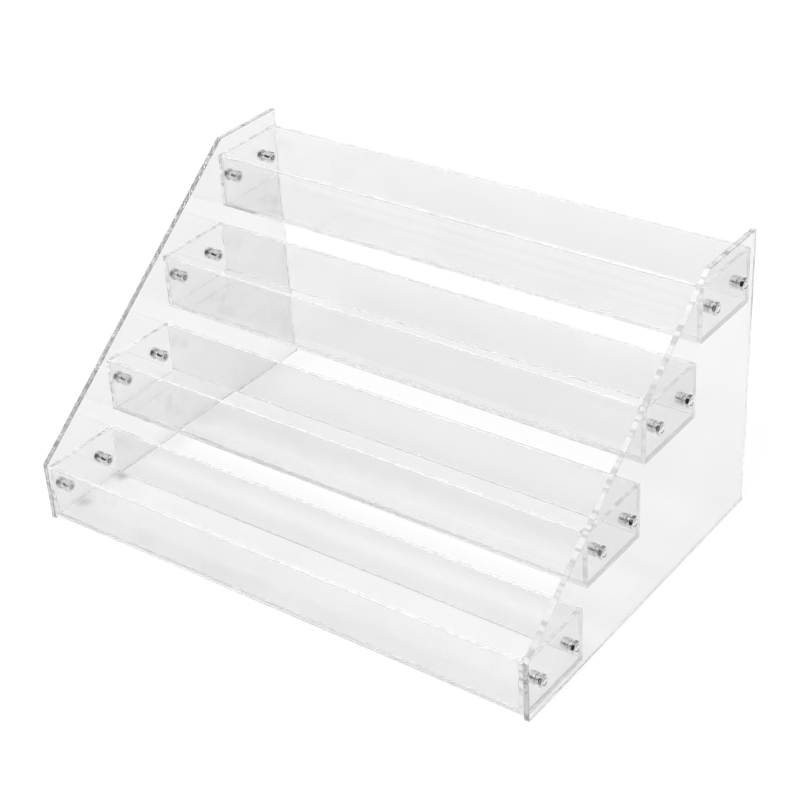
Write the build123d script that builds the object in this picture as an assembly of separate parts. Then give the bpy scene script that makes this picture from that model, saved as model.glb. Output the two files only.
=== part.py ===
from build123d import *
import math
import os

# Clear acrylic rack for nail polish bottles. Four open trays step up and back between two side panels.
# Every tray is five plates glued together, and each of its ends is held to a side panel by two screws.
# Millimetres, +X to the right, +Y to the back, +Z up. The origin is on the ground under the rack's centre.

# Side panels
panel_span = 400.0  # over the outer faces of both panels
panel_thickness = 4.0
panel_depth = 273.0
panel_height = 209.0
panel_front_height = 44.5  # upright front edge, below the slope
panel_top_length = 62.0  # level top edge, behind the slope

# Trays, numbered from the lowest and frontmost
tray_count = 4
tray_depth = 63.5
tray_height = 40.5
tray_plate = 3.0
tray_run = 68.5  # each tray stands this much further back than the one before
tray_rise = 51.5  # and this much higher
first_tray_lift = 3.0

# Plates that meet have a thin glue line or film of air between them
joint_gap = 0.1
edge_break = 0.25

# M5 socket head screws, with thin hex nuts outside the panels
screw_spacing = 37.0
hole_diameter = 5.5
shank_diameter = 4.9
shank_length = 10.0
head_diameter = 8.5
head_height = 5.0
head_edge_break = 0.5
socket_across_flats = 4.0
socket_depth = 2.5
nut_across_flats = 8.0
nut_height = 2.7
nut_bore = 5.1

# Worked out from the sizes above. The rack is built with its front on Y = 0 and centred at the end.
panel_outer_x = panel_span / 2
panel_inner_x = panel_outer_x - panel_thickness
end_outer_x = panel_inner_x - joint_gap
end_inner_x = end_outer_x - tray_plate
wall_end_x = end_inner_x - joint_gap
centre_shift = -panel_depth / 2


def plate(low, high):
    """A square-cut plate between two opposite corners."""
    size = [b - a for a, b in zip(low, high)]
    middle = [(a + b) / 2 for a, b in zip(low, high)]
    return Pos(*middle) * Box(*size)


def drilled(solid, centres):
    """The solid with a screw hole along X through each (y, z) centre."""
    drill = Cylinder(hole_diameter / 2, 4 * panel_thickness, rotation=(0, 90, 0))
    x = solid.bounding_box().center().X
    for y, z in centres:
        solid -= Pos(x, y, z) * drill
    return solid


def eased(solid):
    """The solid with every sharp edge broken by a small chamfer."""
    return chamfer(solid.edges(), edge_break)


def tray_corner(number):
    """Front bottom corner of a tray, as (y, z)."""
    return (number - 1) * tray_run, first_tray_lift + (number - 1) * tray_rise


def screw_centres(number):
    """Screw axes of one tray end, as (y, z): two side by side at half height."""
    y, z = tray_corner(number)
    middle = y + tray_depth / 2
    return [(middle + side * screw_spacing / 2, z + tray_height / 2) for side in (-1, 1)]


def side_panel():
    """The right-hand side panel, drilled for all the trays."""
    outline = Polyline(
        (0, 0),
        (panel_depth, 0),
        (panel_depth, panel_height),
        (panel_depth - panel_top_length, panel_height),
        (0, panel_front_height),
        close=True,
    )
    blank = extrude(Plane.YZ.offset(panel_inner_x) * make_face(outline), panel_thickness)
    centres = [c for number in range(1, tray_count + 1) for c in screw_centres(number)]
    return eased(drilled(blank, centres))


def tray_plates(number):
    """The glued plates of one tray: the walls stand on the floor, and the ends close all three."""
    y, z = tray_corner(number)
    back = y + tray_depth
    top = z + tray_height
    wall_foot = z + tray_plate + joint_gap
    end = plate((end_inner_x, y, z), (end_outer_x, back, top))
    right_end = eased(drilled(end, screw_centres(number)))
    return {
        "floor": eased(plate((-wall_end_x, y, z), (wall_end_x, back, z + tray_plate))),
        "front_wall": eased(plate((-wall_end_x, y, wall_foot), (wall_end_x, y + tray_plate, top))),
        "back_wall": eased(plate((-wall_end_x, back - tray_plate, wall_foot), (wall_end_x, back, top))),
        "right_end": right_end,
        "left_end": mirror(right_end, about=Plane.YZ),
    }


def hexagon(across_flats):
    return RegularPolygon(across_flats / 2, 6, major_radius=False)


def screw():
    """A screw on the X axis: the head fills X < 0, and the shank runs along +X from its seat at 0."""
    head = Cylinder(head_diameter / 2, head_height, rotation=(0, 90, 0))
    head = chamfer(head.edges().group_by(Axis.X)[0], head_edge_break)
    head = Pos(-head_height / 2, 0, 0) * head
    shank = Cylinder(shank_diameter / 2, shank_length, rotation=(0, 90, 0))
    shank = chamfer(shank.edges().group_by(Axis.X)[-1], head_edge_break)
    shank = Pos(shank_length / 2, 0, 0) * shank
    socket = extrude(Plane.YZ.offset(-head_height) * hexagon(socket_across_flats), socket_depth)
    return head + shank - socket


def nut():
    """A thin hex nut on the X axis, from its seat at 0 to +X, with its outer corners turned off."""
    blank = extrude(Plane.YZ * hexagon(nut_across_flats), nut_height)
    corner_radius = nut_across_flats / math.sqrt(3)
    turned = Cylinder(corner_radius, nut_height, rotation=(0, 90, 0))
    turned = chamfer(turned.edges().group_by(Axis.X)[-1], corner_radius - nut_across_flats / 2)
    turned = Pos(nut_height / 2, 0, 0) * turned
    bore = Cylinder(nut_bore / 2, 4 * nut_height, rotation=(0, 90, 0))
    return (blank & turned) - bore


def fasteners(pattern, number):
    """The right-hand pair of one tray: a copy of a fastener on each of its two screw axes."""
    return [Pos(0, y, z) * pattern for y, z in screw_centres(number)]


def save(name, shape):
    export_step(Pos(0, centre_shift, 0) * shape, f"parts/{name}.step")


def save_pair(name, right_solids):
    """Writes the right-hand solids as one node, and the same ones turned round to the left as another."""
    turned = [Pos(0, 2 * solid.center().Y, 0) * Rot(0, 0, 180) * solid for solid in right_solids]
    save(name.format(side="right"), Compound(children=right_solids))
    save(name.format(side="left"), Compound(children=turned))


os.makedirs("parts", exist_ok=True)

right_panel = side_panel()
save("right_side_panel", right_panel)
save("left_side_panel", mirror(right_panel, about=Plane.YZ))

seated_screw = Pos(end_inner_x - joint_gap, 0, 0) * screw()
seated_nut = Pos(panel_outer_x + joint_gap, 0, 0) * nut()
for tray in range(1, tray_count + 1):
    for plate_name, solid in tray_plates(tray).items():
        save(f"tray_{tray}_{plate_name}", solid)
    save_pair(f"tray_{tray}_{{side}}_screws", fasteners(seated_screw, tray))
    save_pair(f"tray_{tray}_{{side}}_nuts", fasteners(seated_nut, tray))
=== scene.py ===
import math

import bpy
from mathutils import Matrix, Vector


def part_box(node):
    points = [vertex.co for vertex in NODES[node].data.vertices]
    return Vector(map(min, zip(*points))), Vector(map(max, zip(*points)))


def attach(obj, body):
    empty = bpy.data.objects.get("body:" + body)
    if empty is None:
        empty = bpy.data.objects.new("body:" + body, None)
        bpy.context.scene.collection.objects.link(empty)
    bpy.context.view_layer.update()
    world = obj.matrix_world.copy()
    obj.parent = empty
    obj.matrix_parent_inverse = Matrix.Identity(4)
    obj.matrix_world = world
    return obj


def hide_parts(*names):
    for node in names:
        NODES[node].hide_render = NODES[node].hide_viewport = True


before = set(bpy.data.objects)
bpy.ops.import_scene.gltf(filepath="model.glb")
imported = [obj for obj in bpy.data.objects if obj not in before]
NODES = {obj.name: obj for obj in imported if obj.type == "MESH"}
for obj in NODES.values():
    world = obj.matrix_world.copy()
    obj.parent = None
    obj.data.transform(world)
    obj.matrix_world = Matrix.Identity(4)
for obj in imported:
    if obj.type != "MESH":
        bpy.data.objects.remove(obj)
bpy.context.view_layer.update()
MM = 0.001

# Camera: where it aims, how far off it stands, and its tilt about its own axis
AIM = Vector((0.0183, -0.0092, 0.1))
AZIMUTH, ELEVATION, ROLL = math.radians(37.84), math.radians(31.74), math.radians(-3.46)
DISTANCE = 1.246
LENS_MM, SENSOR_MM = 84.4, 36.0

# Key light: a large, distant soft light from in front and above
KEY_FROM = Vector((0.0, -0.55, 1.0))
KEY_STRENGTH = 1.77
KEY_WIDTH = math.radians(16)

# Surroundings, as (height, brightness): height is 0 at the horizon and 1 straight up
DIM = 0.04
SKY = [(0.0, 0.97), (0.12, 0.95), (0.17, DIM), (0.61, DIM), (0.66, 0.95)]

# A tall soft panel at the rack's back left: how it starts above the horizon, and where it stands,
# in parts of a full turn from -X
PANEL_BRIGHTNESS = 0.95
PANEL_FOOT = [(0.12, 0.0), (0.17, 1.0)]
PANEL_SPAN = [(0.75, 0.0), (0.77, 1.0), (0.945, 1.0), (0.965, 0.0)]

# Paper floor, a little under the rack so that their faces don't lie in one plane
FLOOR_HALF_WIDTH = 12.0
FLOOR_DROP = 0.0003

# A polygon is square to an axis, or slopes up and to the front, if its normal goes past these
SQUARE, SLOPED = 0.99, 0.3

# A plate's material slots: broad face, cut edge, sloped edge, and a side panel's front and bottom edges,
# darkened as painted shade
FACE, EDGE, SLOPE, PAINTED_SHADE = range(4)

# M5 hardware, in mm; the box of each node gives its place
SCREW_SPACING = 37.0
HEAD_RADIUS, HEAD_HEIGHT = 4.25, 5.0
SOCKET_FLATS, SOCKET_DEPTH = 4.0, 2.5
THREAD_RADIUS, THREAD_DEPTH, THREAD_PITCH = 2.45, 0.46, 0.8
NUT_FLATS, NUT_BORE = 8.0, 5.1

# Smaller forms of the screw, in mm
NECK = [(-0.1, -0.02), (0.1, 0.0)]  # out from the thread's radius, up from the seat
HEAD_FOOT = [(0.35, 0.0), (0.1, 0.12), (0.02, 0.35), (0.0, 0.6)]  # in from the side, up from the seat
HEAD_RIM = [(0.0, 0.65), (0.05, 0.5), (0.5, 0.05), (0.65, 0.0)]  # in from the side, down from the top
HEAD_FACE_INSET = 0.6  # the head's flat face ends this far outside the socket's flats
SOCKET_WALL = [(0.06, 0.04), (0.0, 0.2), (0.0, SOCKET_DEPTH)]  # out from the hexagon, down from the top
SOCKET_CONE_RADIUS, SOCKET_CONE_DEPTH = 0.5, 0.35  # what the drill left below the socket
POINT_LENGTH, POINT_SLOPE = 0.5, 0.9  # the tapered end of the thread
THREAD_FLANK, THREAD_ROOT = 1.35, 0.12  # steepness of its flanks, and width of its flat root
RINGS_PER_TURN = 6
SCREW_STEPS = 96
SCREW_SPINS = [(0.3, 0.9), (1.1, 0.7)]  # each screw's turn: a start, and a step for each tray

# Smaller forms of the nut, in mm
NUT_CHAMFER = math.radians(30)
NUT_FACE_INSET = 0.05  # the face's circle is this far inside the flats
NUT_SIDE_INSET = 0.02
NUT_RISES = [0.0, 0.06, 0.13, 0.2, 0.28]  # from each face, where the chamfer is followed
NUT_COUNTERSINK = 0.3
NUT_STEPS = 72

SMOOTH_ANGLE = math.radians(28)


# ---------------------------------------------------------------- materials

def new_material(name):
    """A node material with its nodes cleared, its tree and its output node."""
    material = bpy.data.materials.new(name)
    material.use_nodes = True
    material.node_tree.nodes.clear()
    output = material.node_tree.nodes.new("ShaderNodeOutputMaterial")
    return material, material.node_tree, output


def add_node(tree, kind, **values):
    """A new node, with the named inputs set and lower-case names set as its own settings."""
    node = tree.nodes.new(kind)
    for key, value in values.items():
        if key[0].islower():
            setattr(node, key, value)
        else:
            node.inputs[key.replace("_", " ")].default_value = value
    return node


def stretched(tree, scale):
    """Object coordinates in metres, times a scale for each axis."""
    place = add_node(tree, "ShaderNodeTexCoord")
    mapping = add_node(tree, "ShaderNodeMapping", Scale=scale)
    tree.links.new(place.outputs["Object"], mapping.inputs["Vector"])
    return mapping.outputs["Vector"]


def noise(tree, vector, scale, detail=2.0, roughness=0.5):
    """A noise texture over a vector, mostly between 0.3 and 0.7."""
    node = add_node(tree, "ShaderNodeTexNoise", Scale=scale, Detail=detail, Roughness=roughness)
    tree.links.new(vector, node.inputs["Vector"])
    return node.outputs["Fac"]


def ramp(tree, source, stops):
    """A colour ramp of greys or colours over source, from (position, value) stops."""
    node = add_node(tree, "ShaderNodeValToRGB")
    marks = node.color_ramp.elements
    while len(marks) < len(stops):
        marks.new(0.5)
    for mark, (position, value) in zip(marks, stops):
        mark.position = position
        mark.color = (*value, 1) if isinstance(value, tuple) else (value, value, value, 1)
    tree.links.new(source, node.inputs["Fac"])
    return node.outputs["Color"]


def spread(tree, source, low, high, start=0.3, end=0.7):
    """From low to high as source, a noise, goes from start to end."""
    return ramp(tree, source, [(start, low), (end, high)])


def calculate(tree, operation, *values):
    """A maths node over sockets or plain numbers."""
    node = add_node(tree, "ShaderNodeMath", operation=operation)
    for i, value in enumerate(values):
        if isinstance(value, (int, float)):
            node.inputs[i].default_value = value
        else:
            tree.links.new(value, node.inputs[i])
    return node.outputs["Value"]


def clear_acrylic(tree, clearness):
    """The shader of cast acrylic, polished; clearness is how much goes through, and the rest is milky."""
    return add_node(tree, "ShaderNodeBsdfPrincipled", Roughness=0.0, IOR=1.49, Transmission_Weight=clearness)


def lamps_pass(tree, glass, clear, output):
    """Lets lamps light what is behind the glass: their rays meet a clear shader instead."""
    path = add_node(tree, "ShaderNodeLightPath")
    mix = add_node(tree, "ShaderNodeMixShader")
    tree.links.new(path.outputs["Is Shadow Ray"], mix.inputs["Fac"])
    tree.links.new(glass.outputs["BSDF"], mix.inputs[1])
    tree.links.new(clear.outputs["BSDF"], mix.inputs[2])
    tree.links.new(mix.outputs["Shader"], output.inputs["Surface"])


def acrylic_face(name, tint_and_painted_shade, shading):
    """A sheet's broad face: clear, with a faint cloudiness.

    Shading is what the lamps' light keeps on its way through, from head-on at 0 to edge-on at 1.
    """
    cloud_scale, cloudiness = 14.0, 0.012
    material, tree, output = new_material(name)
    glass = clear_acrylic(tree, 1.0)
    cloud = noise(tree, stretched(tree, (1, 1, 1)), cloud_scale)
    tone = spread(tree, cloud, tint_and_painted_shade - cloudiness, tint_and_painted_shade + cloudiness)
    tree.links.new(tone, glass.inputs["Base Color"])
    clear = add_node(tree, "ShaderNodeBsdfTransparent")
    slant = add_node(tree, "ShaderNodeLayerWeight", Blend=0.5)
    passed = ramp(tree, slant.outputs["Facing"], shading)
    tree.links.new(passed, clear.inputs["Color"])
    lamps_pass(tree, glass, clear, output)
    return material


def acrylic_edge(name, thin_axis, clearness, dark=0.93, light=1.0, patchy=0.9):
    """A cut edge: fine cutter strokes across the sheet's thickness, darker patches, and a little milky."""
    stroke_scale, patch_scale, along_thickness = 900.0, 280.0, 0.04
    material, tree, output = new_material(name)
    glass = clear_acrylic(tree, clearness)
    scale = [1.0, 1.0, 1.0]
    scale[thin_axis] = along_thickness
    place = stretched(tree, scale)
    strokes = noise(tree, place, stroke_scale, detail=3.0)
    patches = spread(tree, noise(tree, place, patch_scale), 1.0, patchy, start=0.48, end=0.6)
    tone = calculate(tree, "MULTIPLY", spread(tree, strokes, dark, light), patches)
    tree.links.new(tone, glass.inputs["Base Color"])
    bump = add_node(tree, "ShaderNodeBump", Strength=0.01, Distance=0.00005)
    tree.links.new(strokes, bump.inputs["Height"])
    tree.links.new(bump.outputs["Normal"], glass.inputs["Normal"])
    clear = add_node(tree, "ShaderNodeBsdfTransparent", Color=(0.95, 0.95, 0.95, 1))
    lamps_pass(tree, glass, clear, output)
    return material


def bright_steel(name, dark, light):
    """Nickel-plated steel with fine handling marks and a slightly uneven tone."""
    tone_scale, mark_scale, along_screw = 900.0, 6000.0, 0.15
    smooth, marked = 0.02, 0.06
    material, tree, output = new_material(name)
    shader = add_node(tree, "ShaderNodeBsdfPrincipled", Metallic=1.0)
    tone = noise(tree, stretched(tree, (1, 1, 1)), tone_scale, detail=3.0)
    tree.links.new(spread(tree, tone, dark, light), shader.inputs["Base Color"])
    marks = noise(tree, stretched(tree, (along_screw, 1, 1)), mark_scale, detail=4.0, roughness=0.6)
    tree.links.new(spread(tree, marks, smooth, marked, start=0.35, end=0.75), shader.inputs["Roughness"])
    bump = add_node(tree, "ShaderNodeBump", Strength=0.02, Distance=0.00002)
    tree.links.new(marks, bump.inputs["Height"])
    tree.links.new(bump.outputs["Normal"], shader.inputs["Normal"])
    tree.links.new(shader.outputs["BSDF"], output.inputs["Surface"])
    return material


SIDE_SHADING = [(0.0, 0.99), (0.12, 0.98), (0.55, 0.95), (1.0, 0.93)]
TRAY_SHADING = [(0.0, 0.99), (0.2, 0.98), (0.48, 0.89), (1.0, 0.86)]
# One clear acrylic gets its own tint for each kind of plate, set to even out how bright each looks: the
# darker side panels and back walls carry painted shade, the lighter end plates painted light
SIDE_FACE = acrylic_face("side_acrylic_face", 0.865, SIDE_SHADING)
TRAY_FACES = {
    "floor": acrylic_face("tray_floor_acrylic_face", 0.935, TRAY_SHADING),
    "front_wall": acrylic_face("front_wall_acrylic_face", 0.93, TRAY_SHADING),
    "back_wall": acrylic_face("back_wall_acrylic_face", 0.87, TRAY_SHADING),
    "left_end": acrylic_face("left_end_acrylic_face", 0.975, TRAY_SHADING),
    "right_end": acrylic_face("right_end_acrylic_face", 0.975, TRAY_SHADING),
}
SIDE_EDGE = acrylic_edge("side_acrylic_edge", 0, 0.85, patchy=0.8)
# The right panel's sloped edge alone is made mostly milky and whitish so that it shows bright where the left
# one shows dark: painted light
PAINTED_LIGHT_EDGE = acrylic_edge("side_acrylic_painted_light_edge", 0, 0.4, patchy=0.7)
# The side panels' front and bottom edges are darkened for the shade along them and where they stand on the
# floor: painted shade
PAINTED_SHADE_EDGE = acrylic_edge("side_acrylic_painted_shade_edge", 0, 0.85, dark=0.45, light=0.65)
# By the axis that runs through the plate's thickness: ends, walls, floors
TRAY_EDGES = [
    acrylic_edge("tray_acrylic_edge_x", 0, 0.6, patchy=0.65),
    acrylic_edge("tray_acrylic_edge_y", 1, 0.65, patchy=0.9),
    acrylic_edge("tray_acrylic_edge_z", 2, 0.7, dark=0.84, light=0.96),
]
SCREW_STEEL = bright_steel("screw_steel", dark=(0.68, 0.68, 0.69), light=(0.82, 0.82, 0.82))
NUT_STEEL = bright_steel("nut_steel", dark=(0.62, 0.62, 0.63), light=(0.76, 0.76, 0.76))


# ------------------------------------------------------------------- plates

def plate_slot(normal, thin_axis, is_panel):
    """Which of a plate's material slots a polygon with this normal belongs to."""
    if abs(normal[thin_axis]) > SQUARE:
        return FACE
    if normal.y < -SLOPED and normal.z > SLOPED:
        return SLOPE
    if is_panel and min(normal.y, normal.z) < -SQUARE:
        return PAINTED_SHADE
    return EDGE


def dress_plate(name, node):
    """The sheet's two broad faces are clear; its cut edges, bevels and holes are not quite."""
    low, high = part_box(name)
    size = [high[i] - low[i] for i in range(3)]
    thin_axis = size.index(min(size))
    is_panel = name.endswith("panel")
    face = SIDE_FACE if is_panel else TRAY_FACES[name.split("_", 2)[2]]
    edge = SIDE_EDGE if is_panel else TRAY_EDGES[thin_axis]
    # Only the right panel's sloped edge gets the milky edge with painted light
    slope_edge = PAINTED_LIGHT_EDGE if name == "right_side_panel" else edge
    node.data.materials.clear()
    for material in (face, edge, slope_edge, PAINTED_SHADE_EDGE):
        node.data.materials.append(material)
    for polygon in node.data.polygons:
        polygon.material_index = plate_slot(polygon.normal, thin_axis, is_panel)
    # The light of the surroundings reaches the floor as if the sheets weren't there
    node.visible_diffuse = False


# ---------------------------------------------------------------- fasteners

def turns(count):
    """Evenly spaced angles, once round."""
    return [2 * math.pi * i / count for i in range(count)]


def hexagon_radius(angle, flats):
    """How far out a hexagon of this width across flats lies at an angle, a corner at 0."""
    return flats / 2 / math.cos(math.fmod(angle, math.pi / 3) - math.pi / 6)


def circle(radius, along, count):
    """A ring of (radius, along, angle) points, along being the place on the axis."""
    return [(radius, along, angle) for angle in turns(count)]


def skin(rings, looped=False):
    """A closed skin through rings of equally many (radius, along, angle) points, as vertices and faces.

    The last ring joins the first if looped; otherwise a flat face closes each end.
    """
    count = len(rings[0])
    points, faces = [], []
    for ring in rings:
        points += [(along, radius * math.cos(a), radius * math.sin(a)) for radius, along, a in ring]
    for k in range(len(rings) if looped else len(rings) - 1):
        this, following = k * count, (k + 1) % len(rings) * count
        for i in range(count):
            j = (i + 1) % count
            faces.append((this + i, this + j, following + j, following + i))
    if not looped:
        faces.append(tuple(range(count))[::-1])
        faces.append(tuple(range(len(points) - count, len(points))))
    return points, faces


def thread_ring(along, length):
    """A ring across the thread, whose groove winds round with the place on the axis."""
    from_tip = length + along
    limit = THREAD_RADIUS - max(0.0, POINT_LENGTH - from_tip) * POINT_SLOPE
    ring = []
    for i, angle in enumerate(turns(SCREW_STEPS)):
        phase = (along / THREAD_PITCH + i / SCREW_STEPS) % 1.0
        crest = min(1.0, max(0.0, THREAD_FLANK * abs(2 * phase - 1) - THREAD_ROOT))
        ring.append((min(limit, THREAD_RADIUS - THREAD_DEPTH * (1 - crest)), along, angle))
    return ring


def socket_ring(wider, along):
    """A ring on the wall of the hexagon socket, or a little outside it."""
    return [(hexagon_radius(a, SOCKET_FLATS) + wider, along, a) for a in turns(SCREW_STEPS)]


def socket_screw(length):
    """One closed skin: thread from -length, seat at 0, smooth head up to HEAD_HEIGHT, hexagon socket."""
    top = HEAD_HEIGHT
    rows = round(length / THREAD_PITCH * RINGS_PER_TURN)
    outside = [(THREAD_RADIUS + out, rise) for out, rise in NECK]
    outside += [(HEAD_RADIUS - inset, rise) for inset, rise in HEAD_FOOT]
    outside += [(HEAD_RADIUS - inset, top - drop) for inset, drop in HEAD_RIM]
    outside += [(SOCKET_FLATS / 2 + HEAD_FACE_INSET, top)]
    rings = [thread_ring(-length * k / rows, length) for k in range(rows, 0, -1)]
    rings += [circle(radius, along, SCREW_STEPS) for radius, along in outside]
    rings += [socket_ring(wider, top - drop) for wider, drop in SOCKET_WALL]
    rings += [circle(SOCKET_CONE_RADIUS, top - SOCKET_DEPTH - SOCKET_CONE_DEPTH, SCREW_STEPS)]
    return skin(rings)


def nut_ring(along, height):
    """A ring round the outside of the nut, its corners cut back by the chamfer of the nearer face."""
    depth = min(along, height - along)
    cone = NUT_FLATS / 2 - NUT_FACE_INSET + depth / math.tan(NUT_CHAMFER)
    return [(min(hexagon_radius(a, NUT_FLATS) - NUT_SIDE_INSET, cone), along, a) for a in turns(NUT_STEPS)]


def chamfered_nut(height):
    """Hexagon nut from 0 to height: corners turned down at both faces, bore with a countersink."""
    bore, sink = NUT_BORE / 2, NUT_COUNTERSINK
    rings = [circle(bore, sink, NUT_STEPS), circle(bore + sink, 0.0, NUT_STEPS)]
    rings += [nut_ring(rise, height) for rise in NUT_RISES]
    rings += [nut_ring(height - rise, height) for rise in reversed(NUT_RISES)]
    rings += [circle(bore + sink, height, NUT_STEPS), circle(bore, height - sink, NUT_STEPS)]
    return skin(rings, looped=True)


def fastener_piece(node_name, shape, centres, material, forward):
    """One piece that stands for a node, with the shape at each (x, y, z, spin); forward is along +X."""
    shape_points, shape_faces = shape
    points, faces = [], []
    for x, y, z, spin in centres:
        base = len(points)
        for a, b, c in shape_points:
            b, c = b * math.cos(spin) - c * math.sin(spin), b * math.sin(spin) + c * math.cos(spin)
            points.append(((x + (a if forward else -a)) * MM, (y + b) * MM, (z + c) * MM))
        faces += [tuple(base + i for i in (f if forward else f[::-1])) for f in shape_faces]
    name = node_name + "_steel"
    mesh = bpy.data.meshes.new(name)
    mesh.from_pydata(points, [], faces)
    mesh.validate()
    mesh.materials.append(material)
    piece = bpy.data.objects.new(name, mesh)
    bpy.context.scene.collection.objects.link(piece)
    mesh.shade_smooth()
    mesh.set_sharp_from_angle(angle=SMOOTH_ANGLE)
    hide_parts(node_name)
    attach(piece, "root")
    # Fasteners on the right cast no shadow, so that the open ground beside the rack stays clean
    piece.visible_shadow = centres[0][0] < 0


def box_in_mm(name):
    """A node's lowest and highest corners, in mm."""
    return [[c / MM for c in corner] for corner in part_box(name)]


def build_screws(name):
    """The two screws of a tray end, their heads towards the rack's middle, each turned by its own amount."""
    low, high = box_in_mm(name)
    left = high[0] < 0
    seat = high[0] - HEAD_HEIGHT if left else low[0] + HEAD_HEIGHT
    z = (low[2] + high[2]) / 2
    half = (high[2] - low[2]) / 2
    tray = int(name.split("_")[1])
    spins = [start + step * tray for start, step in SCREW_SPINS]
    centres = [(seat, y, z, spin) for y, spin in zip((low[1] + half, high[1] - half), spins)]
    shape = socket_screw(high[0] - low[0] - HEAD_HEIGHT)
    fastener_piece(name, shape, centres, SCREW_STEEL, forward=left)


def build_nuts(name):
    """The two nuts on a tray end's screws, seated on the outside of the side panel."""
    low, high = box_in_mm(name)
    left = high[0] < 0
    seat = high[0] if left else low[0]
    z = (low[2] + high[2]) / 2
    middle = (low[1] + high[1]) / 2
    centres = [(seat, middle + side * SCREW_SPACING / 2, z, 0.0) for side in (-1, 1)]
    shape = chamfered_nut(high[0] - low[0])
    fastener_piece(name, shape, centres, NUT_STEEL, forward=not left)


# ---------------------------------------------------------------- the stage

def make_floor():
    """A wide sheet of white paper under the rack."""
    half = FLOOR_HALF_WIDTH
    mesh = bpy.data.meshes.new("floor")
    corners = [(-half, -half, 0), (half, -half, 0), (half, half, 0), (-half, half, 0)]
    mesh.from_pydata(corners, [], [(0, 1, 2, 3)])
    floor = bpy.data.objects.new("floor", mesh)
    bpy.context.scene.collection.objects.link(floor)
    material, tree, output = new_material("floor_paper")
    shader = add_node(tree, "ShaderNodeBsdfDiffuse", Color=(0.9, 0.9, 0.9, 1))
    tree.links.new(shader.outputs["BSDF"], output.inputs["Surface"])
    mesh.materials.append(material)
    floor.location.z = -FLOOR_DROP


def make_key_light():
    """The key light, which isn't seen in reflections: its disc would show on the tray floors."""
    sun = bpy.data.lights.new("key", "SUN")
    sun.energy = KEY_STRENGTH
    sun.angle = KEY_WIDTH
    lamp = bpy.data.objects.new("key", sun)
    lamp.rotation_euler = KEY_FROM.to_track_quat("Z", "Y").to_euler()
    lamp.visible_glossy = False
    bpy.context.scene.collection.objects.link(lamp)


def make_world():
    """A pale horizon, a wide soft ceiling, a tall soft panel at the back left, and dimness between."""
    world = bpy.data.worlds.new("studio")
    world.use_nodes = True
    tree = world.node_tree
    place = add_node(tree, "ShaderNodeTexCoord")
    split = add_node(tree, "ShaderNodeSeparateXYZ")
    tree.links.new(place.outputs["Generated"], split.inputs["Vector"])
    height = split.outputs["Z"]
    turn = calculate(tree, "ARCTAN2", split.outputs["Y"], split.outputs["X"])
    turn = calculate(tree, "MULTIPLY_ADD", turn, 0.5 / math.pi, 0.5)
    across = ramp(tree, turn, PANEL_SPAN)
    upright = ramp(tree, height, PANEL_FOOT)
    panel = calculate(tree, "MULTIPLY", calculate(tree, "MULTIPLY", across, upright), PANEL_BRIGHTNESS)
    total = calculate(tree, "MAXIMUM", panel, ramp(tree, height, SKY))
    tree.links.new(total, tree.nodes["Background"].inputs["Color"])
    tree.nodes["Background"].inputs["Strength"].default_value = 1.0
    bpy.context.scene.world = world


def make_camera():
    """The camera, tilted by ROLL about the line along which it looks."""
    camera = bpy.data.cameras.new("camera")
    camera.lens = LENS_MM
    camera.sensor_width = SENSOR_MM
    level_part = math.cos(ELEVATION)
    back = Vector((math.sin(AZIMUTH) * level_part, -math.cos(AZIMUTH) * level_part, math.sin(ELEVATION)))
    level_right = Vector((math.cos(AZIMUTH), math.sin(AZIMUTH), 0))
    level_up = back.cross(level_right)
    right = math.cos(ROLL) * level_right + math.sin(ROLL) * level_up
    up = back.cross(right)
    turned = Matrix((right, up, back)).transposed().to_4x4()
    rig = bpy.data.objects.new("camera", camera)
    rig.matrix_world = Matrix.Translation(AIM + back * DISTANCE) @ turned
    bpy.context.scene.collection.objects.link(rig)
    bpy.context.scene.camera = rig


def let_light_through():
    """Light piped along a clear sheet meets its faces many times before it comes out of an edge."""
    bounces = 64
    paths = bpy.context.scene.cycles
    paths.max_bounces = bounces
    paths.transmission_bounces = bounces
    paths.glossy_bounces = bounces
    paths.transparent_max_bounces = bounces


for node_name in sorted(NODES):
    if node_name.endswith("_screws"):
        build_screws(node_name)
    elif node_name.endswith("_nuts"):
        build_nuts(node_name)
    else:
        dress_plate(node_name, NODES[node_name])
make_floor()
make_world()
make_key_light()
make_camera()
let_light_through()
bpy.context.scene.view_settings.view_transform = "Standard"
